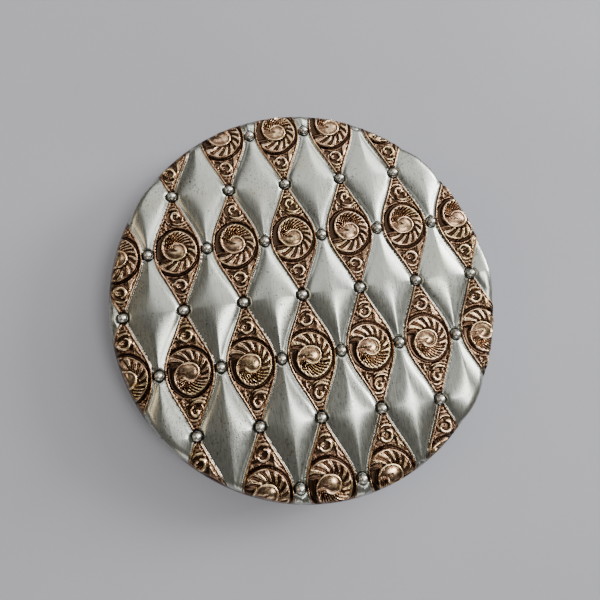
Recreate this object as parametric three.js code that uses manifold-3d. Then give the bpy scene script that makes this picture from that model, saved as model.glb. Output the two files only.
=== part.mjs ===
// A round powder compact: a hinged lid with a diamond relief closes over a dished base that
// holds a powder well, a sifter, a puff and a hinged inner lid.
// Millimetres, +Z up. The closed compact stands on z = 0 and its axis is x = y = 0. The hinge is
// at +Y and the catch button at -Y.

import * as THREE from 'three';
import { mergeVertices } from 'three/addons/utils/BufferGeometryUtils.js';
import Module from 'manifold-3d';

const wasm = await Module();
wasm.setup();

// ---- Driving dimensions -------------------------------------------------------------------

const LID_RADIUS = 40;
const TILE_WIDTH = 0.2993 * LID_RADIUS; // one diamond of the relief, across the lid
const TILE_LENGTH = 0.5943 * LID_RADIUS; // one diamond of the relief, along Y
const TILE_SHIFT = { x: -1, y: -0.3 }; // the corner of four diamonds nearest to the lid's middle
const SHEET = 0.8; // wall of the two pressed shells
const STRIP = 0.5; // thickness of the plates, leaves and rings
const TOUCH = 0.1; // gap between pieces that touch on the real object
const PLAY = 0.3; // gap between pieces that move past each other

const SMOOTH = 60; // facets round the large turned pieces
const COARSE = 40; // facets round the pieces inside the powder well

// Lid, from the parting line up
const LID_BOTTOM = 7.4;
const LID_WALL_TOP = 9.5; // the wall starts to round over here
const DOME_EDGE = 11.6; // height of the dome where it meets the rounded edge
const DOME_CROWN = 12.35; // height of the dome at its middle
const SHOULDER_WIDTH = 2.4;
const SHOULDER_HEIGHT = 2.7;
const CEILING_RADIUS = 37.6; // the ceiling's edge inside the lid
const CEILING_EDGE = 11.05;
const CEILING_CROWN = 11.75;
const RELIEF_SILVER = 0.95; // how far a silver pillow stands above the dome
const RELIEF_COPPER = 0.6; // how far a copper boss stands above the dome
const BEAD_RADIUS = 0.08 * TILE_WIDTH;
const BEAD_CENTRE = 0.25; // height of a bead's centre above the dome

// Base
const BASE_TOP = 7.2;
const BASE_RADIUS = 39;
const BASE_FLAT_RADIUS = 29; // the flat underside that it stands on
const BASE_BEND_TOP = 6.4; // the underside's curve ends here

// Collar and deck
const COLLAR_RADIUS = 37.75;
const COLLAR_WALL = 0.7;
const COLLAR_BOTTOM = 5.2;
const COLLAR_TOP = 8.3;
const DECK_BOTTOM = 5.8;
const DECK_TOP = DECK_BOTTOM + STRIP;

// Powder well and what it holds
const WELL_RADIUS = 28.6;
const WELL_WALL = 0.6;
const WELL_BOTTOM = 1.1;
const WELL_TOP = 7.2;
const POWDER_RADIUS = 27.4;
const SIFTER_RADIUS = 27.8;
const SIFTER_BOTTOM = 2.9;
const SCREEN_RADIUS = 26.1;
const PUFF_RADIUS = 24.5;
const PUFF_BOTTOM = 3.75;
const PUFF_TOP = 6.3;
const RIBBON_WIDTH = 12;

// Inner lid
const POWDER_LID_RADIUS = 29.4;
const POWDER_LID_BOTTOM = 7.5;

// Mirror in the lid
const MIRROR_RADIUS = 34.8;
const MIRROR_BOTTOM = 9.4;
const MIRROR_TOP = 10.5;
const BEZEL_RADIUS = 35.6;
const BEZEL_BOTTOM = 8.9;

// Hinges: a barrel of knuckles round a pin, with its axis along X
const LID_HINGE = { y: 38.1, z: 7.3, barrel: 1.05, bore: 0.7, pin: 0.42, halfLength: 8 };
const INNER_HINGE = { y: 31.6, z: 7.5, barrel: 0.95, bore: 0.65, pin: 0.4, halfLength: 7 };

// Catch: the button slides along Y
const BUTTON_HEIGHT = 2.2;
const BUTTON_HALF_WIDTH = 4.6;
const BUTTON_Z = 4.3;
const BUTTON_FACE_Y = -39.45;
const FLANGE_Y = -35.7;
const TONGUE_Y = -35.1;
const TONGUE_TOP = 8.55;
const TONGUE_HALF_WIDTH = 2.5;
const NOSE = { length: 0.6, height: 0.4 }; // the tongue's nose, which holds the lid's lip
const HOUSING_Y = -31.3;

// ---- Geometry helpers ---------------------------------------------------------------------

// Points along an ellipse's arc, in degrees, in the plane of radius and height.
function arc(centreR, centreZ, radiusR, radiusZ, from, to, steps) {
  const points = [];
  for (let i = 0; i <= steps; i += 1) {
    const angle = THREE.MathUtils.degToRad(from + ((to - from) * i) / steps);
    points.push([centreR + radiusR * Math.cos(angle), centreZ + radiusZ * Math.sin(angle)]);
  }
  return points;
}

// A solid turned about Z. The profile's [radius, height] points run anticlockwise: outwards
// along the bottom, up the outside and back along the top.
function turned(profile, segments = SMOOTH) {
  const onAxis = profile[0][0] === 0;
  const outline = onAxis ? profile : [...profile, profile[0]];
  const points = outline.map(([r, z]) => new THREE.Vector2(r, z));
  return new THREE.LatheGeometry(points, segments).rotateX(Math.PI / 2);
}

function shapeOf(points) {
  return new THREE.Shape(points.map(([a, b]) => new THREE.Vector2(a, b)));
}

// An outline in the XY plane, made solid between two heights.
function slab(shape, bottom, top) {
  const options = { depth: top - bottom, bevelEnabled: false, curveSegments: 6 };
  return new THREE.ExtrudeGeometry(shape, options).translate(0, 0, bottom);
}

// An outline in the YZ plane, made solid between two places along X.
function barAlongX(shape, left, right, curveSegments = 12) {
  const options = { depth: right - left, bevelEnabled: false, curveSegments };
  const turn = new THREE.Matrix4().makeBasis(
    new THREE.Vector3(0, 1, 0),
    new THREE.Vector3(0, 0, 1),
    new THREE.Vector3(1, 0, 0),
  );
  return new THREE.ExtrudeGeometry(shape, options).applyMatrix4(turn).translate(left, 0, 0);
}

function block([x0, x1], [y0, y1], [z0, z1]) {
  const geometry = new THREE.BoxGeometry(x1 - x0, y1 - y0, z1 - z0);
  return geometry.translate((x0 + x1) / 2, (y0 + y1) / 2, (z0 + z1) / 2);
}

function solidOf(geometry) {
  const bare = geometry.clone();
  bare.deleteAttribute('normal');
  bare.deleteAttribute('uv');
  const merged = mergeVertices(bare, 1e-4);
  const corners = merged.index.array;
  const triangles = [];
  for (let i = 0; i < corners.length; i += 3) {
    const [a, b, c] = corners.subarray(i, i + 3);
    if (a !== b && b !== c && c !== a) triangles.push(a, b, c);
  }
  const vertProperties = new Float32Array(merged.attributes.position.array);
  const triVerts = new Uint32Array(triangles);
  return new wasm.Manifold(new wasm.Mesh({ numProp: 3, vertProperties, triVerts }));
}

function geometryOf(solid) {
  const { vertProperties, triVerts } = solid.getMesh();
  const geometry = new THREE.BufferGeometry();
  geometry.setAttribute('position', new THREE.BufferAttribute(vertProperties, 3));
  geometry.setIndex(new THREE.BufferAttribute(triVerts, 1));
  geometry.computeVertexNormals();
  return geometry;
}

function joined(...geometries) {
  return geometryOf(geometries.map(solidOf).reduce((whole, part) => whole.add(part)));
}

function cut(geometry, ...tools) {
  return geometryOf(tools.map(solidOf).reduce((whole, tool) => whole.subtract(tool), solidOf(geometry)));
}

// A wire bent into a coil about X, centred on the origin.
function coil(radius, wireRadius, length, turns) {
  class Helix extends THREE.Curve {
    getPoint(t) {
      const angle = 2 * Math.PI * turns * t;
      return new THREE.Vector3(length * (t - 0.5), radius * Math.cos(angle), radius * Math.sin(angle));
    }
  }
  const section = new THREE.Shape().absarc(0, 0, wireRadius, 0, 2 * Math.PI);
  return new THREE.ExtrudeGeometry(section, {
    steps: 10 * turns,
    curveSegments: 3,
    extrudePath: new Helix(),
  });
}

// ---- Lid ----------------------------------------------------------------------------------

function domeHeight(x, y) {
  const share = Math.hypot(x, y) / LID_RADIUS;
  return DOME_CROWN - (DOME_CROWN - DOME_EDGE) * share * share;
}

// Height of the relief above the dome. The diamonds are the cells of a skewed grid: silver and
// copper ones alternate, and each falls away to a groove along its border.
function reliefHeight(x, y) {
  const column = (x - TILE_SHIFT.x) / TILE_WIDTH;
  const row = (y - TILE_SHIFT.y) / TILE_LENGTH;
  const alongP = column + row;
  const alongQ = column - row;
  const cellP = Math.floor(alongP);
  const cellQ = Math.floor(alongQ);
  const fromMiddle = 2 * Math.max(Math.abs(alongP - cellP - 0.5), Math.abs(alongQ - cellQ - 0.5));
  const isSilver = Math.abs(cellP + cellQ) % 2 === 0;
  return (isSilver ? RELIEF_SILVER : RELIEF_COPPER) * (1 - fromMiddle ** 2);
}

// A block under the whole lid whose top is the dome with its relief.
function reliefBlock() {
  const halfColumns = 14;
  const halfRows = 7;
  const across = 2 * halfColumns + 1;
  const along = 2 * halfRows + 1;
  const positions = [];
  for (const isTop of [false, true]) {
    for (let row = 0; row < along; row += 1) {
      for (let column = 0; column < across; column += 1) {
        const x = ((column - halfColumns) * TILE_WIDTH) / 4 + TILE_SHIFT.x;
        const y = ((row - halfRows) * TILE_LENGTH) / 4 + TILE_SHIFT.y;
        positions.push(x, y, isTop ? domeHeight(x, y) + reliefHeight(x, y) : LID_BOTTOM - 1);
      }
    }
  }
  const topStart = across * along;
  const height = (vertex) => positions[3 * vertex + 2];
  const triangles = [];
  // Each cell is split along its lower diagonal, which is where a groove runs.
  for (let row = 0; row < along - 1; row += 1) {
    for (let column = 0; column < across - 1; column += 1) {
      const a = row * across + column;
      const [b, c, d] = [a + 1, a + across + 1, a + across];
      triangles.push(a, d, c, a, c, b);
      const [e, f, g, h] = [a, b, c, d].map((vertex) => vertex + topStart);
      if (height(e) + height(g) < height(f) + height(h)) triangles.push(e, f, g, e, g, h);
      else triangles.push(e, f, h, f, g, h);
    }
  }
  const wall = (from, to) => {
    triangles.push(from, to, to + topStart, from, to + topStart, from + topStart);
  };
  for (let column = 0; column < across - 1; column += 1) {
    wall(column, column + 1);
    wall(topStart - 1 - column, topStart - 2 - column);
  }
  for (let row = 0; row < along - 1; row += 1) {
    wall((row + 1) * across - 1, (row + 2) * across - 1);
    wall((row + 1) * across, row * across);
  }
  const geometry = new THREE.BufferGeometry();
  geometry.setAttribute('position', new THREE.Float32BufferAttribute(positions, 3));
  geometry.setIndex(triangles);
  return geometry;
}

// One bead at every corner of the diamonds.
function beads() {
  const reach = LID_RADIUS - 1.6;
  const found = [];
  for (let row = -4; row <= 4; row += 1) {
    for (let column = -4; column <= 4; column += 1) {
      const shift = Math.abs(row % 2) / 2;
      const x = (column + shift) * TILE_WIDTH + TILE_SHIFT.x;
      const y = (row * TILE_LENGTH) / 2 + TILE_SHIFT.y;
      if (Math.hypot(x, y) < reach) {
        const bead = new THREE.SphereGeometry(BEAD_RADIUS, 6, 4).rotateX(Math.PI / 2);
        found.push(bead.translate(x, y, domeHeight(x, y) + BEAD_CENTRE));
      }
    }
  }
  return found;
}

// Room at the back of the lid and base for the hinge barrel.
function barrelNotch(bottom, top) {
  const halfWidth = LID_HINGE.halfLength + 2 * PLAY;
  return block([-halfWidth, halfWidth], [LID_HINGE.y - 4, LID_RADIUS + 1], [bottom, top]);
}

const LID_NOTCH_TOP = LID_HINGE.z + LID_HINGE.barrel + PLAY;

function lidShell() {
  const envelope = turned([
    [0, LID_BOTTOM],
    [LID_RADIUS, LID_BOTTOM],
    ...arc(LID_RADIUS - SHOULDER_WIDTH, LID_WALL_TOP, SHOULDER_WIDTH, SHOULDER_HEIGHT, 0, 90, 4),
    [0, DOME_CROWN + 2],
  ]);
  const cavity = turned([
    [0, LID_BOTTOM - 1],
    [LID_RADIUS - SHEET, LID_BOTTOM - 1],
    [LID_RADIUS - SHEET, LID_WALL_TOP + 0.25],
    [CEILING_RADIUS, CEILING_EDGE],
    [0, CEILING_CROWN],
  ]);
  let shell = solidOf(envelope).intersect(solidOf(reliefBlock()));
  for (const bead of beads()) shell = shell.add(solidOf(bead));
  shell = shell.subtract(solidOf(cavity));
  return geometryOf(shell.subtract(solidOf(barrelNotch(LID_BOTTOM - 1, LID_NOTCH_TOP))));
}

// The ring inside the lid that the hinge, the catch lip and the mirror are fixed to.
const FRAME_RADIUS = LID_RADIUS - SHEET - TOUCH;
const FRAME_INNER_RADIUS = FRAME_RADIUS - 0.6;

function lidFrame() {
  const bottom = LID_BOTTOM + 0.2;
  const top = CEILING_EDGE - TOUCH;
  const shelfOuter = CEILING_RADIUS - TOUCH;
  const shelfInner = shelfOuter - 1.3;
  const ring = turned([
    [FRAME_INNER_RADIUS, bottom],
    [FRAME_RADIUS, bottom],
    [FRAME_RADIUS, LID_WALL_TOP + 0.1],
    [shelfOuter, top],
    [shelfInner, top],
    [shelfInner, top - STRIP],
    [shelfOuter - 0.2, top - STRIP],
    [FRAME_INNER_RADIUS, LID_WALL_TOP - 0.1],
  ]);
  return cut(ring, barrelNotch(LID_BOTTOM - 1, LID_NOTCH_TOP));
}

function mirrorGlass() {
  const bevel = 0.4;
  return turned([
    [0, MIRROR_BOTTOM],
    [MIRROR_RADIUS - bevel, MIRROR_BOTTOM],
    [MIRROR_RADIUS, MIRROR_BOTTOM + bevel],
    [MIRROR_RADIUS, MIRROR_TOP],
    [0, MIRROR_TOP],
  ]);
}

function mirrorBacking() {
  const bottom = MIRROR_TOP + TOUCH / 2;
  const top = bottom + 0.3;
  return turned([[0, bottom], [MIRROR_RADIUS, bottom], [MIRROR_RADIUS, top], [0, top]]);
}

function mirrorBezel() {
  const flangeRadius = BEZEL_RADIUS + 1.4;
  const flangeTop = CEILING_EDGE - STRIP - 2 * TOUCH;
  const lipRadius = 31.8;
  return turned([
    [lipRadius, BEZEL_BOTTOM + 0.15],
    [lipRadius + 0.4, BEZEL_BOTTOM],
    [BEZEL_RADIUS, BEZEL_BOTTOM],
    [BEZEL_RADIUS, flangeTop - 0.4],
    [flangeRadius, flangeTop - 0.4],
    [flangeRadius, flangeTop],
    [BEZEL_RADIUS - 0.6, flangeTop],
    [BEZEL_RADIUS - 0.6, BEZEL_BOTTOM + 0.4],
    [lipRadius, BEZEL_BOTTOM + 0.4],
  ]);
}

// ---- Hinges -------------------------------------------------------------------------------

function knuckle(hinge, left, right) {
  const ring = new THREE.Shape().absarc(hinge.y, hinge.z, hinge.barrel, 0, 2 * Math.PI);
  ring.holes.push(new THREE.Path().absarc(hinge.y, hinge.z, hinge.bore, 0, 2 * Math.PI, true));
  return barAlongX(ring, left, right, 10);
}

// A round bar as thick as the bore, which clears it through a whole leaf.
function boreTool(hinge) {
  const circle = new THREE.Shape().absarc(hinge.y, hinge.z, hinge.bore, 0, 2 * Math.PI);
  return barAlongX(circle, -hinge.halfLength - 1, hinge.halfLength + 1, 10);
}

// Knuckles over the given stretches of X, each with a tab to the plate that joins them.
function hingeLeaf(hinge, stretches, tab, plate) {
  const pieces = stretches.flatMap(([left, right]) => [
    knuckle(hinge, left, right),
    block([left, right], tab.y, tab.z),
  ]);
  return cut(joined(...pieces, ...plate), boreTool(hinge));
}

const LID_KNUCKLES = [[-4.75, -1.75], [1.75, 4.75]];
const BASE_KNUCKLES = [[-8, -5], [-1.5, 1.5], [5, 8]];
const INNER_LID_KNUCKLES = [[-4.1, -1.9], [1.9, 4.1]];
const INNER_BASE_KNUCKLES = [[-7, -4.4], [4.4, 7]];
const LEAF_CLEARANCE = 0.25; // between a plate and the other leaf's knuckles

function lidHingeLeaf() {
  const { y, z, barrel } = LID_HINGE;
  const plateBottom = z + barrel + LEAF_CLEARANCE;
  const plateY = [y - 1.3, y - 1.3 + STRIP];
  const tab = { y: plateY, z: [z + 0.4, plateBottom + 0.1] };
  const plate = [block([-4.75, 4.75], plateY, [plateBottom, LID_WALL_TOP - PLAY])];
  return hingeLeaf(LID_HINGE, LID_KNUCKLES, tab, plate);
}

function baseHingeLeaf() {
  const { y, barrel, halfLength } = LID_HINGE;
  const plateZ = [DECK_TOP + TOUCH, DECK_TOP + TOUCH + 0.45];
  const plateFront = y - 3.3;
  const plateBack = y - barrel - LEAF_CLEARANCE - 0.05;
  const tab = { y: [plateBack - 0.1, y - 0.6], z: plateZ };
  const plate = [block([-halfLength, halfLength], [plateFront, plateBack], plateZ)];
  return hingeLeaf(LID_HINGE, BASE_KNUCKLES, tab, plate);
}

function innerHingeLeaf() {
  const { y, barrel, halfLength } = INNER_HINGE;
  const plateZ = [DECK_TOP + TOUCH, DECK_TOP + TOUCH + 0.4];
  const plateFront = y + barrel + LEAF_CLEARANCE + 0.05;
  const plateBack = y + 2.9;
  const tab = { y: [y + 0.5, plateFront + 0.1], z: plateZ };
  const plate = [block([-halfLength, halfLength], [plateFront, plateBack], plateZ)];
  return hingeLeaf(INNER_HINGE, INNER_BASE_KNUCKLES, tab, plate);
}

function powderLidLeaf() {
  const { y, z, barrel } = INNER_HINGE;
  const plateZ = [z + barrel - 0.35, z + barrel];
  const plateFront = y - 6.6;
  const plateBack = y - barrel - LEAF_CLEARANCE;
  const tab = { y: [plateBack - 0.1, y - 0.2], z: plateZ };
  const plate = [block([-4.1, 4.1], [plateFront, plateBack], plateZ)];
  return hingeLeaf(INNER_HINGE, INNER_LID_KNUCKLES, tab, plate);
}

function hingePin(hinge) {
  const circle = new THREE.Shape().absarc(hinge.y, hinge.z, hinge.pin, 0, 2 * Math.PI);
  return barAlongX(circle, -hinge.halfLength - 0.2, hinge.halfLength + 0.2, 6);
}

// The torsion spring sits round the inner pin, between the inner lid's two knuckles.
function innerLidSpring() {
  const [radius, wire, length, turns] = [0.72, 0.16, 2.4, 4];
  return coil(radius, wire, length, turns).translate(0, INNER_HINGE.y, INNER_HINGE.z);
}

// ---- Base ---------------------------------------------------------------------------------

function buttonShape(margin) {
  const halfHeight = BUTTON_HEIGHT / 2 + margin;
  const straight = BUTTON_HALF_WIDTH - BUTTON_HEIGHT / 2;
  return new THREE.Shape()
    .absarc(straight, BUTTON_Z, halfHeight, -Math.PI / 2, Math.PI / 2)
    .absarc(-straight, BUTTON_Z, halfHeight, Math.PI / 2, 1.5 * Math.PI);
}

// An outline in the XZ plane, made solid between two places along Y.
function barAlongY(shape, front, back) {
  const options = { depth: back - front, bevelEnabled: false, curveSegments: 6 };
  return new THREE.ExtrudeGeometry(shape, options).rotateX(Math.PI / 2).translate(0, back, 0);
}

function buttonSlot() {
  return barAlongY(buttonShape(PLAY), -LID_RADIUS - 1, FLANGE_Y);
}

function baseShell() {
  const width = BASE_RADIUS - BASE_FLAT_RADIUS;
  const dish = turned([
    [0, 0],
    ...arc(BASE_FLAT_RADIUS, BASE_BEND_TOP, width, BASE_BEND_TOP, -90, 0, 5),
    [BASE_RADIUS, BASE_TOP],
    [BASE_RADIUS - SHEET, BASE_TOP],
    ...arc(BASE_FLAT_RADIUS, BASE_BEND_TOP, width - SHEET, BASE_BEND_TOP - SHEET, 0, -90, 5),
    [0, SHEET],
  ]);
  return cut(dish, barrelNotch(BASE_BEND_TOP - 0.5, BASE_TOP + 1), buttonSlot());
}

// The raised ring that the lid closes over. Its inner ledge carries the deck plate.
function baseCollar() {
  const inner = COLLAR_RADIUS - COLLAR_WALL;
  const ring = turned([
    [inner - 1, COLLAR_BOTTOM],
    [COLLAR_RADIUS, COLLAR_BOTTOM],
    [COLLAR_RADIUS, COLLAR_TOP - 0.3],
    [COLLAR_RADIUS - 0.3, COLLAR_TOP],
    [inner, COLLAR_TOP],
    [inner, DECK_BOTTOM - TOUCH],
    [inner - 1, DECK_BOTTOM - TOUCH],
  ]);
  return cut(ring, barrelNotch(DECK_TOP + 0.05, COLLAR_TOP + 1), buttonSlot());
}

function deckPlate() {
  const outer = COLLAR_RADIUS - COLLAR_WALL - 2 * TOUCH;
  const inner = WELL_RADIUS + PLAY;
  const ring = turned([[inner, DECK_BOTTOM], [outer, DECK_BOTTOM], [outer, DECK_TOP], [inner, DECK_TOP]]);
  const slotHalfWidth = TONGUE_HALF_WIDTH + 0.7;
  const slotY = [TONGUE_Y - PLAY, TONGUE_Y + STRIP + 1.3];
  return cut(ring, block([-slotHalfWidth, slotHalfWidth], slotY, [DECK_BOTTOM - 1, DECK_TOP + 1]));
}

function powderWell() {
  const inner = WELL_RADIUS - WELL_WALL;
  const floorTop = WELL_BOTTOM + STRIP;
  const flangeBottom = DECK_TOP + TOUCH;
  return turned([
    [0, WELL_BOTTOM],
    [inner, WELL_BOTTOM],
    [WELL_RADIUS, WELL_BOTTOM + WELL_WALL],
    [WELL_RADIUS, flangeBottom],
    [WELL_RADIUS + 1.4, flangeBottom],
    [WELL_RADIUS + 1.4, flangeBottom + 0.4],
    [WELL_RADIUS, flangeBottom + 0.4],
    [WELL_RADIUS, WELL_TOP],
    [inner, WELL_TOP],
    [inner, floorTop + 0.3],
    [inner - 0.3, floorTop],
    [0, floorTop],
  ]);
}

// ---- Inside the well ----------------------------------------------------------------------

function powderCake() {
  const bottom = WELL_BOTTOM + STRIP + TOUCH;
  return turned([
    [0, bottom],
    [POWDER_RADIUS - 0.2, bottom],
    [POWDER_RADIUS, bottom + 0.8],
    [POWDER_RADIUS - 0.6, bottom + 1],
    [0, bottom + 1.1],
  ], COARSE);
}

function sifterFrame() {
  const inner = SCREEN_RADIUS + TOUCH;
  return turned([
    [inner - 1, SIFTER_BOTTOM],
    [SIFTER_RADIUS, SIFTER_BOTTOM],
    [SIFTER_RADIUS, SIFTER_BOTTOM + 0.9],
    [SIFTER_RADIUS - 0.3, SIFTER_BOTTOM + 1.1],
    [inner, SIFTER_BOTTOM + 1.1],
    [inner, SIFTER_BOTTOM + 0.4],
    [inner - 1, SIFTER_BOTTOM + 0.4],
  ], COARSE);
}

function sifterScreen() {
  const bottom = SIFTER_BOTTOM + 0.4 + TOUCH;
  return turned([[0, bottom], [SCREEN_RADIUS, bottom], [SCREEN_RADIUS, bottom + 0.2], [0, bottom + 0.2]], COARSE);
}

function puff() {
  const middle = (PUFF_BOTTOM + PUFF_TOP) / 2;
  const halfHeight = (PUFF_TOP - PUFF_BOTTOM) / 2;
  return turned([
    [0, PUFF_BOTTOM],
    ...arc(PUFF_RADIUS - 1.6, middle, 1.6, halfHeight, -90, 90, 4),
    [0, PUFF_TOP],
  ], COARSE);
}

function puffBacking() {
  const bottom = PUFF_TOP + TOUCH;
  const radius = PUFF_RADIUS - 2.5;
  return turned([[0, bottom], [radius, bottom], [radius - 0.1, bottom + 0.3], [0, bottom + 0.3]], COARSE);
}

function puffRibbon() {
  const halfLength = PUFF_RADIUS - 4;
  const bottom = PUFF_TOP + 2 * TOUCH + 0.3;
  return block([-halfLength, halfLength], [-RIBBON_WIDTH / 2, RIBBON_WIDTH / 2], [bottom, bottom + 0.3]);
}

// ---- Inner lid ----------------------------------------------------------------------------

// A disc with a turned-down edge that fits round the well's rim, and a thumb tab at the front.
function powderLid() {
  const bottom = POWDER_LID_BOTTOM;
  const disc = turned([
    [0, bottom],
    [POWDER_LID_RADIUS - 0.4, bottom],
    [POWDER_LID_RADIUS - 0.4, bottom - 0.45],
    [POWDER_LID_RADIUS, bottom - 0.45],
    [POWDER_LID_RADIUS, bottom + 0.2],
    [POWDER_LID_RADIUS - 0.3, bottom + STRIP],
    [0, bottom + STRIP],
  ]);
  const halfWidth = 4;
  const corner = 1.4;
  const root = 0.8 - POWDER_LID_RADIUS;
  const turn = -POWDER_LID_RADIUS - 0.8;
  const tab = new THREE.Shape()
    .moveTo(-halfWidth, root)
    .lineTo(-halfWidth, turn)
    .absarc(corner - halfWidth, turn, corner, Math.PI, 1.5 * Math.PI)
    .absarc(halfWidth - corner, turn, corner, -Math.PI / 2, 0)
    .lineTo(halfWidth, root);
  return joined(disc, slab(tab, bottom, bottom + STRIP));
}

// ---- Catch --------------------------------------------------------------------------------

function catchButton() {
  const flange = block(
    [-BUTTON_HALF_WIDTH - 1.2, BUTTON_HALF_WIDTH + 1.2],
    [FLANGE_Y, FLANGE_Y + STRIP],
    [BUTTON_Z - BUTTON_HEIGHT / 2 + 0.1, COLLAR_BOTTOM - 0.2],
  );
  return joined(barAlongY(buttonShape(0), BUTTON_FACE_Y, FLANGE_Y + STRIP / 2), flange);
}

// The upright behind the button. Its nose reaches forward over the lip's hook.
function catchTongue() {
  const back = TONGUE_Y + STRIP;
  const bottom = BUTTON_Z - BUTTON_HEIGHT / 2 + 0.3;
  const profile = shapeOf([
    [TONGUE_Y, bottom],
    [back, bottom],
    [back, TONGUE_TOP],
    [TONGUE_Y - NOSE.length / 2, TONGUE_TOP],
    [TONGUE_Y - NOSE.length, TONGUE_TOP - NOSE.height / 2],
    [TONGUE_Y - NOSE.length, TONGUE_TOP - NOSE.height],
    [TONGUE_Y, TONGUE_TOP - NOSE.height],
  ]);
  return barAlongX(profile, -TONGUE_HALF_WIDTH, TONGUE_HALF_WIDTH);
}

// The lip hangs from the lid frame inside the collar, and its hook faces the tongue.
function lidCatchLip() {
  const sheet = 0.4;
  const root = -FRAME_INNER_RADIUS + 0.25;
  const front = -COLLAR_RADIUS + COLLAR_WALL + 0.4;
  const back = front + sheet;
  const hookTip = TONGUE_Y - NOSE.length - 0.25;
  const hookBottom = LID_BOTTOM + 0.1;
  const armBottom = COLLAR_TOP + 0.4;
  const profile = shapeOf([
    [root, armBottom],
    [front, armBottom],
    [front, hookBottom],
    [hookTip, hookBottom],
    [hookTip, hookBottom + sheet],
    [back, hookBottom + sheet],
    [back, armBottom + sheet],
    [root, armBottom + sheet],
  ]);
  return barAlongX(profile, -3, 3);
}

// A bracket with a back wall behind the spring and two cheeks beside the button's flange.
function catchHousing() {
  const outer = BUTTON_HALF_WIDTH + 2.1;
  const sheet = 0.4;
  const footBottom = 1.75;
  const cheekTop = DECK_BOTTOM - PLAY;
  const cheeks = [-1, 1].map((side) => {
    const edges = [side * outer, side * (outer - sheet)].sort((a, b) => a - b);
    return block(edges, [TONGUE_Y + 0.2, HOUSING_Y + sheet], [2.8, cheekTop]);
  });
  const back = block([-outer, outer], [HOUSING_Y, HOUSING_Y + sheet], [footBottom, cheekTop]);
  const foot = block([-outer, outer], [HOUSING_Y - 1.5, HOUSING_Y + sheet], [footBottom, footBottom + sheet]);
  return joined(back, foot, ...cheeks);
}

function catchSpring() {
  const front = TONGUE_Y + STRIP + TOUCH;
  const back = HOUSING_Y - TOUCH;
  const wire = 0.18;
  const [radius, turns] = [0.9, 4];
  const spring = coil(radius, wire, back - front - 2 * wire - 0.1, turns);
  return spring.rotateZ(Math.PI / 2).translate(0, (front + back) / 2, BUTTON_Z);
}

// ---- Materials ----------------------------------------------------------------------------

function metal(color, roughness) {
  return new THREE.MeshStandardMaterial({ color, roughness, metalness: 1 });
}

function dull(color, roughness) {
  return new THREE.MeshStandardMaterial({ color, roughness, metalness: 0 });
}

const SILVER = metal(0xa8a79c, 0.42);
const GILT = metal(0xd8b878, 0.3);
const STEEL = metal(0xb9bcc0, 0.35);
const MIRROR = metal(0xf2f4f5, 0.03);
const CARD = dull(0x4a4038, 0.95);
const POWDER = dull(0xe3bfa4, 1);
const VELOUR = dull(0xf0d9cc, 1);
const SATIN = dull(0xe9c3b9, 0.5);
const RIBBON = dull(0xc98f86, 0.4);

// ---- Assembly -----------------------------------------------------------------------------

function piece(name, geometry, material) {
  const mesh = new THREE.Mesh(geometry, material);
  mesh.name = name;
  return mesh;
}

function body(...pieces) {
  const group = new THREE.Group();
  group.add(...pieces);
  return group;
}

const base = body(
  piece('base_shell', baseShell(), SILVER),
  piece('base_collar', baseCollar(), GILT),
  piece('deck_plate', deckPlate(), GILT),
  piece('powder_well', powderWell(), GILT),
  piece('base_hinge_leaf', baseHingeLeaf(), GILT),
  piece('hinge_pin', hingePin(LID_HINGE), STEEL),
  piece('inner_hinge_leaf', innerHingeLeaf(), GILT),
  piece('inner_hinge_pin', hingePin(INNER_HINGE), STEEL),
  piece('inner_lid_spring', innerLidSpring(), STEEL),
  piece('catch_housing', catchHousing(), STEEL),
  piece('catch_spring', catchSpring(), STEEL),
  piece('powder_cake', powderCake(), POWDER),
  piece('sifter_frame', sifterFrame(), GILT),
  piece('sifter_screen', sifterScreen(), STEEL),
  piece('puff', puff(), VELOUR),
  piece('puff_backing', puffBacking(), SATIN),
  piece('puff_ribbon', puffRibbon(), RIBBON),
);

const lid = body(
  piece('lid_shell', lidShell(), SILVER),
  piece('lid_frame', lidFrame(), GILT),
  piece('lid_hinge_leaf', lidHingeLeaf(), GILT),
  piece('lid_catch_lip', lidCatchLip(), STEEL),
  piece('mirror_glass', mirrorGlass(), MIRROR),
  piece('mirror_backing', mirrorBacking(), CARD),
  piece('mirror_bezel', mirrorBezel(), GILT),
);

const innerLid = body(
  piece('powder_lid', powderLid(), GILT),
  piece('powder_lid_leaf', powderLidLeaf(), GILT),
);

const button = body(
  piece('catch_button', catchButton(), GILT),
  piece('catch_tongue', catchTongue(), STEEL),
);

const group = new THREE.Group();
group.add(base, lid, innerLid, button);

export default group;
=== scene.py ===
"""A round powder compact, closed and lying flat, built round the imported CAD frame.

The frame is in metres: the compact stands on z = 0, its hinge is at +Y and its catch button at -Y.
Sizes are in millimetres until a mesh is made. In the relief, lengths are shares of a diamond's width,
heights are in millimetres and turns are in degrees.
"""
import math

import bmesh
import bpy
import numpy as np
from mathutils import Euler, Matrix, Vector


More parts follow.
